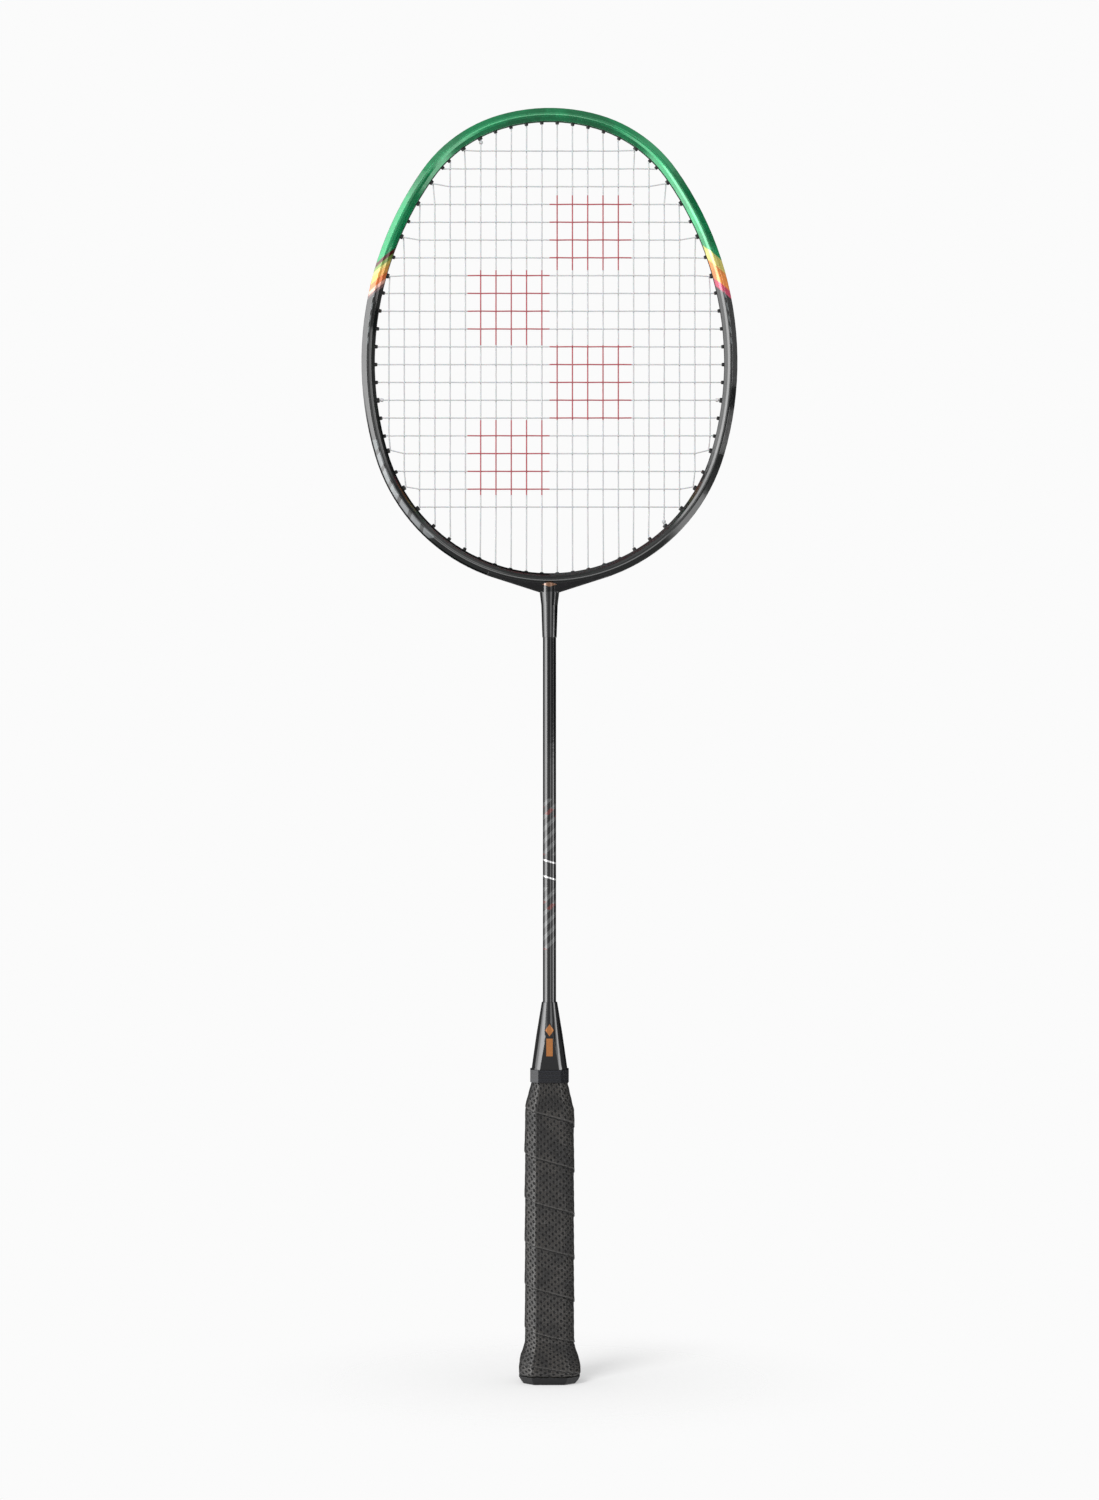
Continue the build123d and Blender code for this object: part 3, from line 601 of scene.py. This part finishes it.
def band_film():
    """Glossy black finishing tape with faint lines round it."""
    material, t, shader = new_finish("band_film")
    where, x, y, z = t.place()
    ripple = t.noise(t.node("CombineXYZ", {0: x, 1: y, 2: t.product(z, 5.0)}).outputs[0], 260.0, 3.0)
    lines = t.use(bars, Along=z, Across=x, Lean=0.0, Pitch=2.2 * MM, Share=0.12)["Mask"]
    made = t.use(grain, Vector=where, Scale=1200.0)
    base = t.colour(made["Cloud"], linear(13, 14, 19), linear(21, 23, 31))
    t.feed(shader, {
        "Base Color": t.colour(t.product(lines, 0.35), base, linear(46, 50, 62)),
        "Roughness": t.blend(made["Height"], 0.2, 0.34),
        "Coat Weight": 0.5, "Coat Roughness": 0.08,
        "Normal": t.bump(ripple, 0.12 * MM, 0.6)})
    return material


def grip_leatherette():
    """Black perforated polyurethane with dark pricks, a fine leather grain and a soft sheen. Painted
    highlights lighten the pricks' rims, a painted highlight line runs along each turn's proud lower edge, and
    a painted shadow line lies just below it.
    """
    material, t, shader = new_finish("grip_leatherette")
    where = t.place()[0]
    tape = t.node("UVMap", uv_map="tape").outputs[0]
    along, across, _ = t.node("SeparateXYZ", {0: tape}).outputs
    away = t.use(spots, Across=along, Along=across, Column_Step=1.0, Row_Step=1.0)["Round"]
    prick = t.fall(away, *PRICK_SHADE)
    rim = t.product(t.rise(away, *RIM_INSIDE), t.fall(away, *RIM_OUTSIDE))
    # Painted light kept on the sleeve: a shadow line under each turn's proud edge, and a highlight line along
    # that edge
    seam_shadow, edge = (t.node("Attribute", attribute_name=name).outputs["Fac"] for name in ("seam_shadow", "edge_highlight"))
    made = t.use(grain, Vector=where, Scale=1500.0)
    skin = t.colour(made["Cloud"], linear(15, 15, 16), linear(26, 25, 25))
    mottled = t.colour(t.product(made["Height"], 0.5), skin, linear(49, 46, 43))
    # Painted highlight: the pricks' rims are lightened in cloudy patches as glints, and they are also made
    # smoother there
    polish_and_rim_glint = t.product(rim, t.rise(made["Cloud"], 0.38, 0.6))
    rim_glinted = t.colour(t.product(polish_and_rim_glint, 0.4), mottled, linear(88, 84, 79))
    pricked = t.colour(t.product(prick, 0.92), rim_glinted, linear(6, 6, 7))
    # Painted highlight: a pale line along each turn's proud lower edge
    edge_lit = t.colour(t.product(edge, 0.55), pricked, linear(92, 90, 88))
    rough = t.blend(polish_and_rim_glint, t.blend(made["Height"], 0.26, 0.48), 0.2)
    t.feed(shader, {
        # Painted shadow: near black just under each turn's proud lower edge
        "Base Color": t.colour(seam_shadow, edge_lit, linear(5, 5, 6)),
        "Roughness": t.blend(prick, rough, 0.8),
        "Specular IOR Level": 0.52, "Sheen Weight": 0.03, "Sheen Roughness": 0.5,
        "Normal": t.bump(t.math("SUBTRACT", made["Height"], prick), 0.2 * MM, 0.9)})
    return material


# ---------------------------------------------------------------- wrapped grip

def handle_size(z):
    """Width and depth over the tape at each height, as arrays."""
    width, depth = np.full_like(z, GRIP_WIDTH), np.full_like(z, GRIP_DEPTH)
    flare_share = (1 + np.cos(np.pi * np.clip((z - FLARE_HEIGHT) / FLARE_LENGTH, 0, 1))) / 2
    foot_share = np.clip(1 - z / FLARE_HEIGHT, 0, 1) ** 2
    top_share = np.clip((z - TAPER_BOTTOM) / TAPER_LENGTH, 0, 1)
    width += flare_share * (FLARE_WIDTH - GRIP_WIDTH) + top_share * (GRIP_TOP_WIDTH - GRIP_WIDTH)
    depth += flare_share * (FLARE_DEPTH - GRIP_DEPTH) + top_share * (GRIP_TOP_DEPTH - GRIP_DEPTH)
    width += foot_share * (BUTT_WIDTH - FLARE_WIDTH)
    depth += foot_share * (BUTT_DEPTH - FLARE_DEPTH)
    return width, depth


def octagon_reach(angle, width, depth, sharpness):
    """Distance from the axis to the handle's surface in each direction. Its corners are slightly rounded."""
    cut = CORNER_FACET * np.minimum(width / GRIP_WIDTH, depth / GRIP_DEPTH)
    across, ahead = np.abs(np.sin(angle)), np.abs(np.cos(angle))
    side = across / (width / 2)
    face = ahead / (depth / 2)
    corner = (across + ahead) / (width / 2 + depth / 2 - cut)
    return (side ** sharpness + face ** sharpness + corner ** sharpness) ** (-1 / sharpness)


def grip_wrap():
    """The wound tape as one closed sleeve. Each turn's lower edge stands proud of the turn below it."""
    columns, rows, inner_rows = 360, 600, 50
    corner_round, inner_round = 26, 90      # the higher, the sharper
    angle = np.linspace(-np.pi, np.pi, columns, endpoint=False)[None, :]
    z = np.linspace(GRIP_FOOT_Z, GRIP_TOP_Z, rows)[:, None]
    width, depth = handle_size(z)
    reach = octagon_reach(angle, width, depth, corner_round)

    # How far round the tape has gone, and which turn it is on
    ring = octagon_reach(angle, GRIP_WIDTH, GRIP_DEPTH, corner_round)[0]
    corners = np.stack([ring * np.sin(angle[0]), ring * np.cos(angle[0])], 1)
    steps = np.linalg.norm(np.roll(corners, -1, 0) - corners, axis=1)
    girth = steps.sum()
    round_share = (np.concatenate([[0], np.cumsum(steps)[:-1]]) / girth - 0.5)[None, :]
    turn = np.interp(z / MM, SEAM_HEIGHTS, np.arange(len(SEAM_HEIGHTS))) + round_share
    past_edge = (turn % 1) * TURN_PITCH
    before_edge = (1 - turn % 1) * TURN_PITCH
    ridge = RIDGE * np.exp(-past_edge / RIDGE_FADE) * (1 - np.exp(-past_edge / RIDGE_ROUND))
    dip = SEAM_DIP * np.exp(-(before_edge / SEAM_DIP_WIDTH) ** 2)

    # Pricks in staggered rows along the tape
    dots_round = round(girth / PRICK_SPACING)
    along = round_share * dots_round + np.floor(turn) * PRICK_TURN_SHIFT
    across = turn * TURN_PITCH / PRICK_SPACING
    gap = np.full_like(turn, 9.0)
    for shift in (0.0, 0.5):
        cell_along = np.abs((along + shift) % 1 - 0.5)
        cell_across = np.abs((across + shift) % 1 - 0.5)
        gap = np.minimum(gap, np.hypot(cell_along, cell_across))
    prick = PRICK_DEPTH * np.clip(1 - (gap * PRICK_SPACING / PRICK_RADIUS) ** 2, 0, 1)
    prick = prick * np.clip((np.minimum(past_edge, before_edge) - PRICK_MARGIN) / PRICK_MARGIN_FADE, 0, 1)

    wander = WANDER * np.sin(3 * angle + 700 * z) * np.sin(410 * z + 1.3)
    outer = reach - RIDGE + ridge - dip - prick + wander
    from_end = np.minimum(z - GRIP_FOOT_Z, GRIP_TOP_Z - z)
    ending = 1 - np.clip(from_end / SLEEVE_ROUND, 0, 1)
    outer = outer - SLEEVE_ROUND_DEPTH * (1 - np.sqrt(1 - ending ** 2))
    inner_z = np.linspace(GRIP_TOP_Z, GRIP_FOOT_Z, inner_rows)[:, None]
    inner_width, inner_depth = (size - 2 * TAPE_THICKNESS for size in handle_size(inner_z))
    inner = octagon_reach(angle, inner_width, inner_depth, inner_round)

    radius = np.concatenate([outer, inner])
    height = np.concatenate([z, inner_z]) + np.zeros_like(radius)
    points = np.stack([radius * np.sin(angle), -radius * np.cos(angle), height], 2).reshape(-1, 3)
    total = rows + inner_rows
    row, column = np.meshgrid(np.arange(total), np.arange(columns), indexing="ij")
    next_row, next_column = (row + 1) % total, (column + 1) % columns
    faces = np.stack([row * columns + column, row * columns + next_column,
                      next_row * columns + next_column, next_row * columns + column], 2).reshape(-1, 4)

    mesh = bpy.data.meshes.new("grip_wrap")
    mesh.vertices.add(len(points))
    mesh.vertices.foreach_set("co", points.astype(np.float32).ravel())
    mesh.loops.add(faces.size)
    mesh.loops.foreach_set("vertex_index", faces.astype(np.int32).ravel())
    mesh.polygons.add(len(faces))
    mesh.polygons.foreach_set("loop_start", np.arange(0, faces.size, 4, dtype=np.int32))
    mesh.update(calc_edges=True)
    mesh.shade_smooth()

    # Tape coordinates in steps of the prick spacing, taken at each face's own corners
    def at_corners(grid):
        inner_part = np.zeros((inner_rows, columns))
        return np.concatenate([grid + np.zeros((rows, columns)), inner_part]).ravel()[faces]
    uv = np.stack([at_corners(along), at_corners(across)], 2)
    wrapped = np.abs(uv[:, :, 0] - uv[:, :1, 0]) > 2
    uv[:, :, 0] += wrapped * np.sign(uv[:, :1, 0] - uv[:, :, 0]) * dots_round
    layer = mesh.uv_layers.new(name="tape")
    layer.data.foreach_set("uv", uv.astype(np.float32).ravel())
    # Painted light for the colour: a shadow line just under each turn's proud lower edge, and a highlight
    # line along that edge
    lines = {"seam_shadow": np.exp(-(before_edge / SEAM_SHADOW_WIDTH) ** 2),
             "edge_highlight": np.exp(-((past_edge - EDGE_HIGHLIGHT_MIDDLE) / EDGE_HIGHLIGHT_WIDTH) ** 2)}
    for name, strength in lines.items():
        shade = mesh.attributes.new(name, "FLOAT", "POINT")
        filled = np.concatenate([strength, np.zeros((inner_rows, columns))])
        shade.data.foreach_set("value", filled.astype(np.float32).ravel())

    piece = bpy.data.objects.new("grip_wrap", mesh)
    bpy.context.scene.collection.objects.link(piece)
    mesh.materials.append(grip_leatherette())
    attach(piece, "root")
    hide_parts("grip_tape")


# ---------------------------------------------------------------- studio

PALE = linear(251, 251, 251)


def studio_world():
    """White behind the racket, and an even level of plain light all round."""
    world = bpy.data.worlds.new("pale_studio")
    bpy.context.scene.world = world
    world.use_nodes = True
    t = Tree(world.node_tree)
    t.tree.nodes.clear()
    path = t.node("LightPath").outputs
    straight = t.math("MAXIMUM", path["Is Glossy Ray"], path["Is Transmission Ray"])
    seen = t.math("MAXIMUM", path["Is Camera Ray"], straight)
    white = t.node("Background", {"Color": PALE, "Strength": 1.0})
    even = t.node("Background", {"Color": (1.0, 1.0, 1.0, 1.0), "Strength": 0.58})
    mixed = t.node("MixShader", {0: seen, 1: even.outputs[0], 2: white.outputs[0]})
    t.node("OutputWorld", {0: mixed.outputs[0]})


# The tent's panels: degrees round from the front towards +X, and how bright it is there
TENT_PANELS = (
    (-180, 0.05), (-104, 0.15), (-96, 1.9), (-84.5, 1.9), (-83, 3.0), (-76, 4.0), (-64, 4.75), (-46, 4.75),
    (-43.5, 0.25), (-39, 0.25), (-36.5, 1.2), (-30, 1.2), (-26, 0.35), (8, 0.3), (12, 1.5), (26, 1.5),
    (30, 0.5), (37, 0.5), (39, 0.15), (50, 0.15), (56, 1.3), (63, 1.3), (66, 3.8), (76, 3.8), (79.5, 0.5),
    (85, 0.15), (180, 0.05))
TENT_LEVEL = 5.0        # brighter than any panel
TENT_RADIUS = 4.0

# Where the panels are dimmed, as shares of the radius: heights from the head's middle, sides towards +X
BESIDE_GRIP_TOP = -0.2, -0.17
BESIDE_NECK_FOOT, BESIDE_NECK_TOP = (-0.06, -0.045), (0.01, 0.03)
NECK_MIDDLE_BEGINS = -0.6, -0.4
LOW_RIGHT_BEGINS = 0.5, 0.62
HIGH_RIGHT_FOOT, HIGH_RIGHT_BEGINS = (0.3, 0.5), (0.3, 0.6)
HIGH_LEFT_FOOT, HIGH_LEFT_ENDS = (0.3, 0.45), (-0.6, -0.3)
RIGHT_DIM, NECK_DIM, HIGH_LEFT_DIM = 0.88, 0.6, 0.3

# Level rings of the tent in place of the panels: where each begins, and how bright it is
ARCH = (0.6, 0.68), 0.55
ROOF = (0.82, 0.9), 0.25
LOW_STRIP = (-0.46, -0.4), 1.9
CELLAR = (-0.72, -0.6), 0.22


def light_tent():
    """A tent of pale and black panels round the racket, seen only in its reflections."""
    bpy.ops.mesh.primitive_uv_sphere_add(
        segments=96, ring_count=48, radius=TENT_RADIUS, location=(0, 0, HEAD_MIDDLE_Z))
    tent = bpy.context.object
    tent.name = "light_tent"
    material = bpy.data.materials.new("tent_panels")
    material.use_nodes = True
    t = Tree(material.node_tree)
    t.tree.nodes.clear()
    x, y, z = t.node("SeparateXYZ", {0: t.node("TexCoord").outputs["Object"]}).outputs
    bearing = t.math("ARCTAN2", x, t.product(y, -1.0))
    share = t.math("ADD", t.math("DIVIDE", bearing, 2 * math.pi), 0.5)
    stops = [((degrees + 180) / 360, (level / TENT_LEVEL,) * 3 + (1.0,)) for degrees, level in TENT_PANELS]
    panels = t.product(t.ramp(share, stops), TENT_LEVEL)

    height, side = t.math("DIVIDE", z, TENT_RADIUS), t.math("DIVIDE", x, TENT_RADIUS)
    beside_grip = t.fall(height, *BESIDE_GRIP_TOP)
    beside_neck = t.product(t.rise(height, *BESIDE_NECK_FOOT), t.fall(height, *BESIDE_NECK_TOP))
    low_right = t.product(t.math("MAXIMUM", beside_grip, beside_neck), t.rise(side, *LOW_RIGHT_BEGINS))
    high_right = t.product(t.rise(height, *HIGH_RIGHT_FOOT), t.rise(side, *HIGH_RIGHT_BEGINS))
    high_left = t.product(t.rise(height, *HIGH_LEFT_FOOT), t.fall(side, *HIGH_LEFT_ENDS), HIGH_LEFT_DIM)
    right = t.product(t.math("MAXIMUM", high_right, low_right), RIGHT_DIM)
    neck_middle = t.product(beside_neck, t.rise(side, *NECK_MIDDLE_BEGINS), NECK_DIM)
    dim = t.math("MAXIMUM", t.math("MAXIMUM", right, neck_middle), high_left)
    level = t.product(panels, t.remainder(dim))
    for ends, brightness in (ARCH, ROOF):
        level = t.blend(t.rise(height, *ends), level, brightness)
    for ends, brightness in (LOW_STRIP, CELLAR):
        level = t.blend(t.fall(height, *ends), level, brightness)
    glow = t.node("Emission", {"Color": (1.0, 1.0, 1.0, 1.0), "Strength": level})
    t.node("OutputMaterial", {0: glow.outputs[0]})
    tent.data.materials.append(material)
    for ray in ("camera", "diffuse", "transmission", "volume_scatter", "shadow"):
        setattr(tent, "visible_" + ray, False)


FLOOR_FADE = 0.02, 0.19     # metres out from the butt's middle
FLOOR_KEPT = 0.62


def floor():
    """A pale disc under the butt that fades into the backdrop and keeps the racket's shadow."""
    bpy.ops.mesh.primitive_circle_add(vertices=96, radius=0.9, fill_type="NGON")
    disc = bpy.context.object
    disc.name = "pale_floor"
    material = bpy.data.materials.new("pale_floor")
    material.use_nodes = True
    t = Tree(material.node_tree)
    t.tree.nodes.clear()
    where = t.node("TexCoord").outputs["Object"]
    far = t.node("VectorMath", {0: where}, operation="LENGTH").outputs["Value"]
    kept = t.product(t.fall(far, *FLOOR_FADE), FLOOR_KEPT)
    matt = t.node("BsdfDiffuse", {"Color": (0.96, 0.96, 0.96, 1.0)})
    clear = t.node("BsdfTransparent")
    mixed = t.node("MixShader", {0: kept, 1: clear.outputs[0], 2: matt.outputs[0]})
    t.node("OutputMaterial", {0: mixed.outputs[0]})
    disc.data.materials.append(material)
    disc.visible_glossy = False


def key_light():
    """One broad soft lamp at the front left, above the racket."""
    place, aim = np.array([-0.9, -1.7, 1.9]), np.array([0.0, 0.0, 0.35])
    lamp = bpy.data.lights.new("key_light", "AREA")
    lamp.shape = "DISK"
    lamp.size = 1.0
    lamp.energy = 38.0
    piece = bpy.data.objects.new("key_light", lamp)
    piece.location = place
    ahead = aim - place
    tilt = math.acos(-ahead[2] / np.linalg.norm(ahead))
    piece.rotation_euler = (tilt, 0.0, math.atan2(ahead[1], ahead[0]) - math.pi / 2)
    piece.visible_glossy = False
    bpy.context.scene.collection.objects.link(piece)


def camera():
    """Level with the racket's middle, two metres in front of it."""
    data = bpy.data.cameras.new("camera")
    data.sensor_fit = "AUTO"
    data.sensor_width = 36.0
    data.lens = 90.5
    piece = bpy.data.objects.new("camera", data)
    piece.location = (0.0, -2.0, 0.3348)
    piece.rotation_euler = (math.pi / 2, 0.0, 0.0)
    bpy.context.scene.collection.objects.link(piece)
    bpy.context.scene.camera = piece


# ---------------------------------------------------------------- putting it together

camera()
studio_world()
light_tent()
floor()
key_light()

paint(["head_frame"], frame_lacquer())
paint(["throat_shell"], black_lacquer("throat_lacquer", throat_mark))
paint(["shaft"], black_lacquer("shaft_lacquer", shaft_marks))
paint(["cone_cap"], black_lacquer("cone_plastic", cone_mark))
paint(["tee_joint"], tee_alloy())
paint(["handle_core"], handle_wood())
paint(["butt_cap"], grained_plastic("butt_plastic", linear(34, 34, 35), 0.5, 1300.0, 0.05 * MM))
paint(["under_tape"], tape_film())
paint(["finishing_band"], band_film())
paint(["main_string", "cross_string", "string_knots"], string_nylon())
grommets = sorted(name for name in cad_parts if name.startswith("grommets_"))
paint(grommets, grained_plastic("grommet_nylon", linear(22, 22, 23), 0.42, 2200.0, 0.03 * MM))
grip_wrap()

bpy.context.scene.view_settings.view_transform = "Standard"
